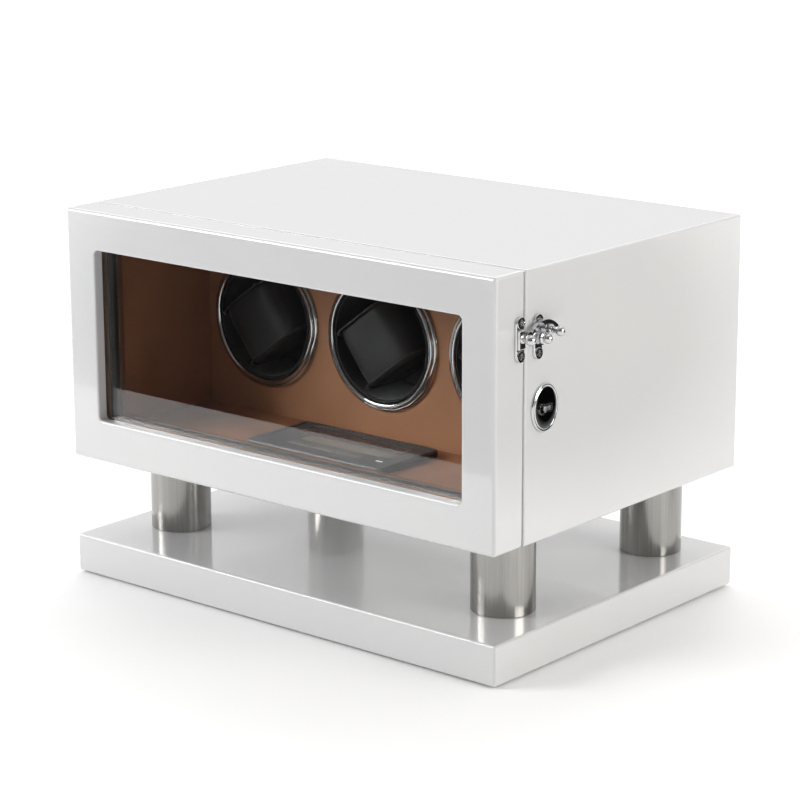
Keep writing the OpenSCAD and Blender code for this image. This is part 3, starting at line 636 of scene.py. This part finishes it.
# The back: a loose panel in satin lacquer, screwed into the rebates, with a power inlet and a
# rocker switch low down on the left as the front sees it.
satin_lacquer, shader = new_finish("satin_lacquer", (0.72, 0.72, 0.71), 0.42)
brushwork = pattern(satin_lacquer, "ShaderNodeTexNoise", 700, Detail=3)
raise_surface(satin_lacquer, shader, brushwork, 0.12, 0.0001)
vary_roughness(satin_lacquer, shader, brushwork, 0.36, 0.5)
inlet_low, inlet_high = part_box("dc_inlet")
switch_low, switch_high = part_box("switch_bezel")
back_panel = start_block("back_cover", back_low, back_high)
ease_edges(back_panel, every_edge, 0.5 * mm, 3)
inlet_middle = (inlet_low + inlet_high) / 2
switch_middle = (switch_low + switch_high) / 2
cut(back_panel, start_rod("inlet_hole", 5 * mm, (inlet_middle.x, back_low.y - 5 * mm, inlet_middle.z),
    (inlet_middle.x, back_high.y + 5 * mm, inlet_middle.z), "Y", 64))
cut(back_panel, start_block("switch_hole",
    (switch_middle.x - 7 * mm, back_low.y - 5 * mm, switch_middle.z - 9 * mm),
    (switch_middle.x + 7 * mm, back_high.y + 5 * mm, switch_middle.z + 9 * mm)))
polish(back_panel)
fit(back_panel, satin_lacquer, "cabinet", "back_board", "back_panel")
black_moulding = machined("black_moulding", (0.02, 0.02, 0.021), 0.4, 0, 1300)
for name in ("dc_inlet", "switch_bezel", "power_rocker"):
    dress_node(name, black_moulding)


# The door: two stiles and two rails, glued, lacquered and polished as one frame. The window's
# corners are round at the front, and a rebate behind takes the glass.
stile_low, stile_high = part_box("door_left_stile")
right_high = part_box("door_right_stile")[1]
glass_low, glass_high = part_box("door_glass")
bead_low, bead_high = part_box("glass_bead")
gasket_low, gasket_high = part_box("door_gasket")
strip_low, strip_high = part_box("door_lining")
window_edge = Vector((5 * mm, 0, 5 * mm))
opening_low = Vector((glass_low.x, stile_low.y, glass_low.z)) + window_edge
opening_high = Vector((glass_high.x, stile_high.y, glass_high.z)) - window_edge
door_frame = start_block("door_frame", stile_low, right_high)
ease_edges(door_frame, every_edge, 2.2 * mm, 5)
opening = start_block("window", opening_low - past, opening_high + past)
ease_edges(opening, lambda edge: abs(edge.verts[0].co.y - edge.verts[1].co.y) > 1 * mm, 3.2 * mm, 6)
cut(door_frame, opening)
cut(door_frame, start_block("glass_rebate", glass_low, (glass_high.x, stile_high.y + 5 * mm, glass_high.z)))


def window_lip(edge):
    return all(abs(vertex.co.y - stile_low.y) < 1e-6 and abs(vertex.co.x) < opening_high.x + 1e-5
        and opening_low.z - 1e-5 < vertex.co.z < opening_high.z + 1e-5 for vertex in edge.verts)


ease_edges(door_frame, window_lip, 1.2 * mm, 4)
for pocket in hinge_pocket(stile_high.y - leaf_thickness, stile_high.y + 1 * mm):
    cut(door_frame, pocket)
strike_low, strike_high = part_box("strike_plate")
cut(door_frame, start_block("strike_pocket", strike_low, strike_high + past))
cut(door_frame, start_block("bolt_pocket", strike_low + Vector((1.5 * mm, -7 * mm, 6 * mm)),
    strike_high + Vector((-1.5 * mm, 5 * mm, -6 * mm))))
polish(door_frame)
fit(door_frame, lacquer, "door", "white_lacquer", "door_left_stile", "door_right_stile",
    "door_top_rail", "door_bottom_rail")

# The glass: a plain float pane with arrised edges. It lets light through to the leather and still
# throws a reflection.
clear_glass, shader = new_finish("clear_glass", (0.96, 0.975, 0.97), 0.0)
shader.inputs["Transmission Weight"].default_value = 1.0
shader.inputs["IOR"].default_value = 1.45
glass_nodes, glass_links = clear_glass.node_tree.nodes, clear_glass.node_tree.links
wipe_marks = pattern(clear_glass, "ShaderNodeTexNoise", 12, Detail=2)
vary_roughness(clear_glass, shader, wipe_marks, 0.0, 0.012)
glass_ray = glass_nodes.new("ShaderNodeLightPath")
clear_way = glass_nodes.new("ShaderNodeBsdfTransparent")
clear_way.inputs["Color"].default_value = (0.95, 0.965, 0.96, 1)
glass_mix = glass_nodes.new("ShaderNodeMixShader")
glass_links.new(glass_ray.outputs["Is Shadow Ray"], glass_mix.inputs["Fac"])
glass_links.new(shader.outputs["BSDF"], glass_mix.inputs[1])
glass_links.new(clear_way.outputs["BSDF"], glass_mix.inputs[2])
glass_links.new(glass_mix.outputs["Shader"], glass_nodes["Material Output"].inputs["Surface"])
pane = start_block("window_pane", glass_low, glass_high)
ease_edges(pane, every_edge, 0.3 * mm, 2)
polish(pane)
fit(pane, clear_glass, "door", "clear_glass", "door_glass")


# Behind the glass: a leather-covered bead, a flocked seal, and a leather-covered lining at the
# door's back, each a frame of mitred strips.
def along_the_opening(edge):
    inner = all(abs(vertex.co.x) < opening_high.x + 1e-5
        and opening_low.z - 1e-5 < vertex.co.z < opening_high.z + 1e-5 for vertex in edge.verts)
    return inner and abs(edge.verts[0].co.y - edge.verts[1].co.y) < 1e-6


def strip_frame(name, low, high, rounding, finish, slot, node):
    frame_piece = start_block(name, low, high)
    cut(frame_piece, start_block("way_through", Vector((opening_low.x, low.y, opening_low.z)) - past,
        Vector((opening_high.x, high.y, opening_high.z)) + past))
    ease_edges(frame_piece, along_the_opening, rounding, 4)
    polish(frame_piece, 50)
    fit(frame_piece, finish, "door", slot, node)


brown_leather = leather("brown_leather", (0.15, 0.065, 0.032), (0.21, 0.10, 0.052), 0.42)
seal_flock = machined("black_seal", (0.02, 0.017, 0.016), 0.9, 0, 2500)
strip_frame("glass_bead_strip", bead_low, bead_high, 1.2 * mm, brown_leather, "brown_leather", "glass_bead")
strip_frame("seal_strip", gasket_low, gasket_high, 0.6 * mm, seal_flock, "black_seal", "door_gasket")
strip_frame("door_lining_strip", strip_low, strip_high, 1.4 * mm, brown_leather, "brown_leather",
    "door_lining")

# The hinges: two polished butt hinges on the left, let in flush, each leaf held by three screws.
for name in ("hinge_cabinet_leaves", "hinge_door_leaves", "hinge_pins"):
    dress_node(name, chrome)
for name in ("door_screws", "cabinet_screws"):
    dress_node(name, plated_steel)


# The latch: two oblong chromed plates, each held by two screws in domed collars. The door's plate
# carries a ball-headed stud, and the cabinet's a crescent hook that turns on a finial.
def add_to(piece, other):
    join = piece.modifiers.new("join", "BOOLEAN")
    join.operation = "UNION"
    join.solver = "EXACT"
    join.object = other
    apply_modifiers(piece)
    bpy.data.objects.remove(other)


def at_x(place):
    """Picks the sharp edges that lie in one plane across X."""
    return lambda edge: (all(abs(vertex.co.x - place) < 1e-5 for vertex in edge.verts)
        and edge.calc_face_angle(0) > 0.5)


def turned_knob(name, outline, y, z):
    knob = turn_profile(name, outline, (0, y, z), "X", 64)
    polish(knob, 40)
    return knob


wall_x = top_high.x
plate_face = wall_x + 1.6 * mm
pivot_low, pivot_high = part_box("latch_pivot")
keeper_low, keeper_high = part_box("latch_keeper")
pivot = (pivot_low + pivot_high) / 2
keeper = (keeper_low + keeper_high) / 2
hook_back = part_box("latch_hook")[0].x
hook_face = hook_back + 2.4 * mm
screw_rise = 9.6 * mm
plate_width = 7.6 * mm
plate_height = 26 * mm


def latch_oblong(name, y, z, body, node):
    plate = start_block(name, (wall_x, y - plate_width / 2, z - plate_height / 2),
        (plate_face, y + plate_width / 2, z + plate_height / 2))
    ease_edges(plate, lambda edge: abs(edge.verts[0].co.x - edge.verts[1].co.x) > 1 * mm,
        plate_width * 0.497, 12)
    ease_edges(plate, at_x(plate_face), 0.7 * mm, 4)
    polish(plate)
    fit(plate, chrome, body, "chrome", node)
    for side, rise in (("lower", -screw_rise), ("upper", screw_rise)):
        collar = [(plate_face - 0.3 * mm, 2.05 * mm), (plate_face + 0.75 * mm, 2.05 * mm)]
        collar += arc((plate_face + 0.05 * mm, 2.6 * mm), 0.85 * mm, 40, 90, 4)
        collar += [(plate_face - 0.3 * mm, 3.5 * mm), (plate_face - 0.3 * mm, 2.05 * mm)]
        ring = turned_knob(f"{name}_{side}_collar", collar, y, z + rise)
        fit(ring, chrome, body, "chrome", node)


latch_oblong("door_latch_plate", keeper.y, keeper.z, "door", "latch_keeper")
latch_oblong("cabinet_latch_plate", pivot.y + 1 * mm, pivot.z, "cabinet", "latch_plate")
stud_z = keeper.z + 0.7 * mm
stud_block = start_block("stud_block", (plate_face - 0.2 * mm, keeper.y - 3.1 * mm, keeper.z - 5.6 * mm),
    (wall_x + 3.2 * mm, keeper.y + 3.1 * mm, keeper.z + 5.6 * mm))
ease_edges(stud_block, every_edge, 0.8 * mm, 3)
polish(stud_block)
fit(stud_block, chrome, "door", "chrome", "latch_keeper")
ball = 3.2 * mm
stud_outline = [(wall_x + 3 * mm, 0), (wall_x + 3 * mm, 2.6 * mm), (wall_x + 3.7 * mm, 2.5 * mm),
    (wall_x + 4.2 * mm, 1.7 * mm), (wall_x + 5.6 * mm, 1.6 * mm)]
stud_outline += arc((wall_x + 8.6 * mm, 0), ball, 148, 0, 14)
fit(turned_knob("keeper_stud", stud_outline, keeper.y, stud_z), chrome, "door", "chrome", "latch_keeper")

washer_outline = [(plate_face, 2.06 * mm), (hook_back - 0.5 * mm, 2.06 * mm),
    (hook_back - 0.1 * mm, 2.4 * mm),
    (hook_back - 0.1 * mm, 3.5 * mm), (hook_back - 0.4 * mm, 3.8 * mm), (plate_face, 3.9 * mm),
    (plate_face, 2.06 * mm)]
washer = turned_knob("pivot_washer", washer_outline, pivot.y, pivot.z)
fit(washer, chrome, "cabinet", "chrome", "latch_plate")
finial_outline = [(plate_face - 6 * mm, 0), (plate_face - 6 * mm, 1.98 * mm),
    (hook_face + 0.12 * mm, 1.98 * mm),
    (hook_face + 0.12 * mm, 3.1 * mm), (hook_face + 0.4 * mm, 3.4 * mm), (hook_face + 1.0 * mm, 3.3 * mm),
    (hook_face + 1.5 * mm, 2.5 * mm), (hook_face + 2.3 * mm, 2.35 * mm)]
finial_outline += arc((hook_face + 3.4 * mm, 0), 2.9 * mm, 118, 0, 12)
finial = turned_knob("pivot_finial", finial_outline, pivot.y, pivot.z)
fit(finial, chrome, "cabinet", "chrome", "latch_pivot")


def hook_rod(radius, y, z):
    return start_rod("hook_round", radius, (hook_back, pivot.y + y, pivot.z + z),
        (hook_face, pivot.y + y, pivot.z + z), "X", 96)


def hook_trim(low, high, spare=1 * mm):
    return start_block("hook_trim", (hook_back - spare, pivot.y + low[0], pivot.z + low[1]),
        (hook_face + spare, pivot.y + high[0], pivot.z + high[1]))


far = 60 * mm
hook = hook_rod(16.4 * mm, 2.5 * mm, -6.5 * mm)
hook.name = "crescent_hook"
cut(hook, start_rod("hollow", 16.2 * mm, (hook_back - 1 * mm, pivot.y + 2 * mm, pivot.z - 10 * mm),
    (hook_face + 1 * mm, pivot.y + 2 * mm, pivot.z - 10 * mm), "X", 96))
cut(hook, hook_trim((-far, -far), (far, 1.5 * mm)))
cut(hook, hook_trim((-far, -far), (-13.5 * mm, far)))
cut(hook, hook_trim((14.5 * mm, -far), (far, far)))
add_to(hook, hook_rod(4 * mm, 0, 0))
add_to(hook, hook_trim((-3 * mm, 0), (3.5 * mm, 7.5 * mm), 0))
add_to(hook, hook_trim((3 * mm, 2.5 * mm), (8 * mm, 8 * mm), 0))
add_to(hook, hook_rod(1.6 * mm, -11.4 * mm, 3.9 * mm))
cut(hook, start_rod("pivot_hole", 2.05 * mm, (hook_back - 1 * mm, pivot.y, pivot.z),
    (hook_face + 1 * mm, pivot.y, pivot.z), "X", 64))
ease_edges(hook, at_x(hook_face), 0.5 * mm, 3)
polish(hook)
fit(hook, chrome, "hook", "chrome", "latch_hook")
tail_outline = [(hook_face - 0.5 * mm, 0), (hook_face - 0.5 * mm, 3.1 * mm),
    (hook_face + 0.9 * mm, 3.1 * mm),
    (hook_face + 1.5 * mm, 2.7 * mm), (hook_face + 2.0 * mm, 2.0 * mm), (hook_face + 4.2 * mm, 1.9 * mm)]
tail_outline += arc((hook_face + 7 * mm, 0), 3 * mm, 140, 0, 14)
tail = turned_knob("tail_knob", tail_outline, pivot.y + 6.6 * mm, pivot.z + 3.8 * mm)
fit(tail, chrome, "hook", "chrome", "latch_hook")


# The lock: a cast oval escutcheon with a bright rim and a domed mirror face, and a keyhole with
# raised lips. Its case, plug, bolt and strike plate are let into the wood.
plate_low, plate_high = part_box("lock_escutcheon")
oval = (plate_low + plate_high) / 2
rim_face = plate_low.x + 1.7 * mm
escutcheon = start_rod("escutcheon", 1, (plate_low.x, 0, 0), (rim_face, 0, 0), "X", 128)
escutcheon.scale = (1, (plate_high.y - plate_low.y) / 2, (plate_high.z - plate_low.z) / 2)
escutcheon.location = (0, oval.y, oval.z)
bpy.ops.object.transform_apply(location=True, rotation=True, scale=True)
ease_edges(escutcheon, at_x(rim_face), 1.1 * mm, 5)
pick(escutcheon, "FACE", lambda face: face.normal.x > 0.99
    and abs(face.calc_center_median().x - rim_face) < 1e-5)
for inset, rise in ((0.6, -0.25), (0.5, 0.35), (1.8, 0.28), (2.0, 0.16), (2.0, 0.08)):
    bpy.ops.mesh.inset(thickness=inset * mm, depth=rise * mm)
bpy.ops.object.mode_set(mode="OBJECT")
keyhole_radius = 2.3 * mm
slot_half = 1.3 * mm
slot_length = 8 * mm


def keyhole(name, margin, start, end):
    """The keyhole's outline, grown by a margin: a round hole and a slot behind it."""
    shape = start_rod(name, keyhole_radius + margin, (start, keyhole_y, keyhole_z),
        (end, keyhole_y, keyhole_z), "X", 64)
    add_to(shape, start_block("slot", (start, keyhole_y, keyhole_z - slot_half - margin),
        (end, keyhole_y + slot_length + margin, keyhole_z + slot_half + margin)))
    return shape


cut(escutcheon, keyhole("keyhole", 0, plate_low.x - 1 * mm, plate_high.x + 5 * mm))
polish(escutcheon)
fit(escutcheon, chrome, "cabinet", "chrome", "lock_escutcheon")
black_nickel, shader = new_finish("black_nickel", (0.075, 0.079, 0.077), 0.06, 1.0)
vary_roughness(black_nickel, shader, pattern(black_nickel, "ShaderNodeTexNoise", 240, Detail=3), 0.04, 0.1)
escutcheon.data.materials.append(black_nickel)
dome = Vector((plate_high.y - plate_low.y, plate_high.z - plate_low.z)) / 2 - Vector((2 * mm, 2 * mm))
for face in escutcheon.data.polygons:
    across = Vector(((face.center.y - oval.y) / dome.x, (face.center.z - oval.z) / dome.y))
    if across.length < 1 and face.normal.x > 0.5:
        face.material_index = 1
lip_face = plate_high.x + 0.7 * mm
lips = keyhole("keyhole_lips", 0.9 * mm, rim_face - 0.5 * mm, lip_face)
cut(lips, keyhole("keyhole", 0.02 * mm, plate_low.x - 1 * mm, plate_high.x + 5 * mm))
ease_edges(lips, at_x(lip_face), 0.4 * mm, 4)
polish(lips)
fit(lips, chrome, "cabinet", "chrome", "lock_escutcheon")
dress_node("lock_case", turned_steel)
dress_node("strike_plate", turned_steel)
dress_node("lock_plug", black_nickel)
dress_node("lock_bolt", cut_brass)


# The room: a pale seamless floor, a tent of light that is open and dim on the viewer's side, and
# five large soft lights.
floor_finish, shader = new_finish("pale_floor", (0.93, 0.93, 0.93), 0.7)
paper = pattern(floor_finish, "ShaderNodeTexNoise", 3, Detail=2)
vary_roughness(floor_finish, shader, paper, 0.66, 0.74)
bpy.ops.object.select_all(action="DESELECT")
bpy.ops.mesh.primitive_plane_add(size=40)
floor = bpy.context.object
floor.name = "floor"
floor.data.materials.append(floor_finish)

world = bpy.data.worlds.new("studio")
world.use_nodes = True
bpy.context.scene.world = world
world_nodes, world_links = world.node_tree.nodes, world.node_tree.links
sky_place = world_nodes.new("ShaderNodeTexCoord")
sky_side = world_nodes.new("ShaderNodeVectorMath")
sky_side.operation = "DOT_PRODUCT"
sky_side.inputs[1].default_value = (-0.6, 0.68, 0.42)
sky_share = world_nodes.new("ShaderNodeMapRange")
sky_share.inputs["From Min"].default_value = -1
sky_ramp = world_nodes.new("ShaderNodeValToRGB")
sky_ramp.color_ramp.elements[0].position = 0.1
sky_ramp.color_ramp.elements[0].color = (0.14, 0.14, 0.14, 1)
sky_ramp.color_ramp.elements[1].position = 0.82
sky_ramp.color_ramp.elements[1].color = (0.9, 0.9, 0.9, 1)
sky_ramp.color_ramp.elements.new(0.45).color = (0.32, 0.32, 0.32, 1)
sky_seen = world_nodes.new("ShaderNodeBackground")
sky_seen.inputs["Color"].default_value = (1, 1, 1, 1)
sky_ray = world_nodes.new("ShaderNodeLightPath")
sky_mix = world_nodes.new("ShaderNodeMixShader")
world_links.new(sky_place.outputs["Generated"], sky_side.inputs[0])
world_links.new(sky_side.outputs["Value"], sky_share.inputs["Value"])
world_links.new(sky_share.outputs["Result"], sky_ramp.inputs["Fac"])
world_links.new(sky_ramp.outputs["Color"], world_nodes["Background"].inputs["Color"])
world_nodes["Background"].inputs["Strength"].default_value = 1.0
world_links.new(sky_ray.outputs["Is Camera Ray"], sky_mix.inputs["Fac"])
world_links.new(world_nodes["Background"].outputs["Background"], sky_mix.inputs[1])
world_links.new(sky_seen.outputs["Background"], sky_mix.inputs[2])
world_links.new(sky_mix.outputs["Shader"], world_nodes["World Output"].inputs["Surface"])


def soft_light(name, place, aim, size, power, colour=(1, 1, 1), in_gloss=True):
    lamp_data = bpy.data.lights.new(name, "AREA")
    lamp_data.shape = "RECTANGLE"
    lamp_data.size, lamp_data.size_y = size
    lamp_data.energy = power
    lamp_data.color = colour
    lamp = bpy.data.objects.new(name, lamp_data)
    bpy.context.scene.collection.objects.link(lamp)
    turn = (Vector(aim) - Vector(place)).to_track_quat("-Z", "Y").to_matrix().to_4x4()
    lamp.matrix_world = Matrix.Translation(place) @ turn
    lamp.visible_glossy = in_gloss


middle_height = (0, 0, 0.13)
soft_light("key_light", (-1.3, -1.5, 0.95), middle_height, (0.9, 0.9), 29.5)
soft_light("top_light", (-0.2, 0.1, 2.8), middle_height, (2.5, 2.5), 7.5)
soft_light("back_light", (-0.3, 1.7, 0.3), (0, 0, 0.05), (1.6, 0.5), 14, in_gloss=False)
soft_light("side_light", (1.9, 0.3, 0.75), (0.17, 0.02, 0.12), (1.2, 0.9), 22, (1.0, 0.975, 0.93))
soft_light("floor_light", (-2.4, 3.0, 2.6), (-2.4, 3.0, 0), (4, 4), 70)

# Black cards that only polished surfaces see: one keeps the floor's veil off the upper glass, and
# one gives the latch something dark to show.
card_black, shader = new_finish("black_card", (0.01, 0.01, 0.01), 0.9)
card_nodes, card_links = card_black.node_tree.nodes, card_black.node_tree.links
card_place = card_nodes.new("ShaderNodeTexCoord")
card_size = card_nodes.new("ShaderNodeMapping")
card_size.inputs["Scale"].default_value = (2, 2, 2)
card_fade = card_nodes.new("ShaderNodeTexGradient")
card_fade.gradient_type = "SPHERICAL"
card_edge = card_nodes.new("ShaderNodeMapRange")
card_edge.inputs["From Max"].default_value = 0.4
card_clear = card_nodes.new("ShaderNodeBsdfTransparent")
card_mix = card_nodes.new("ShaderNodeMixShader")
card_links.new(card_place.outputs["Object"], card_size.inputs["Vector"])
card_links.new(card_size.outputs["Vector"], card_fade.inputs["Vector"])
card_links.new(card_fade.outputs["Fac"], card_edge.inputs["Value"])
card_links.new(card_edge.outputs["Result"], card_mix.inputs["Fac"])
card_links.new(card_clear.outputs["BSDF"], card_mix.inputs[1])
card_links.new(shader.outputs["BSDF"], card_mix.inputs[2])
card_links.new(card_mix.outputs["Shader"], card_nodes["Material Output"].inputs["Surface"])


def black_card(name, place, aim, size):
    bpy.ops.object.select_all(action="DESELECT")
    bpy.ops.mesh.primitive_plane_add(size=1)
    card = bpy.context.object
    card.name = name
    turn = (Vector(aim) - Vector(place)).to_track_quat("Z", "Y").to_matrix().to_4x4()
    card.matrix_world = Matrix.Translation(place) @ turn @ Matrix.Diagonal((*size, 1, 1))
    card.data.materials.append(card_black)
    card.visible_camera = card.visible_diffuse = card.visible_shadow = False


black_card("glass_card", (-0.28, -0.46, 0.06), (-0.28, 0, 0.06), (0.74, 0.44))
black_card("latch_card", (0.38, 0.17, 0.13), (0.17, -0.09, 0.18), (0.38, 0.28))
bpy.context.scene.view_settings.view_transform = "Standard"
bpy.context.scene.view_settings.look = "None"
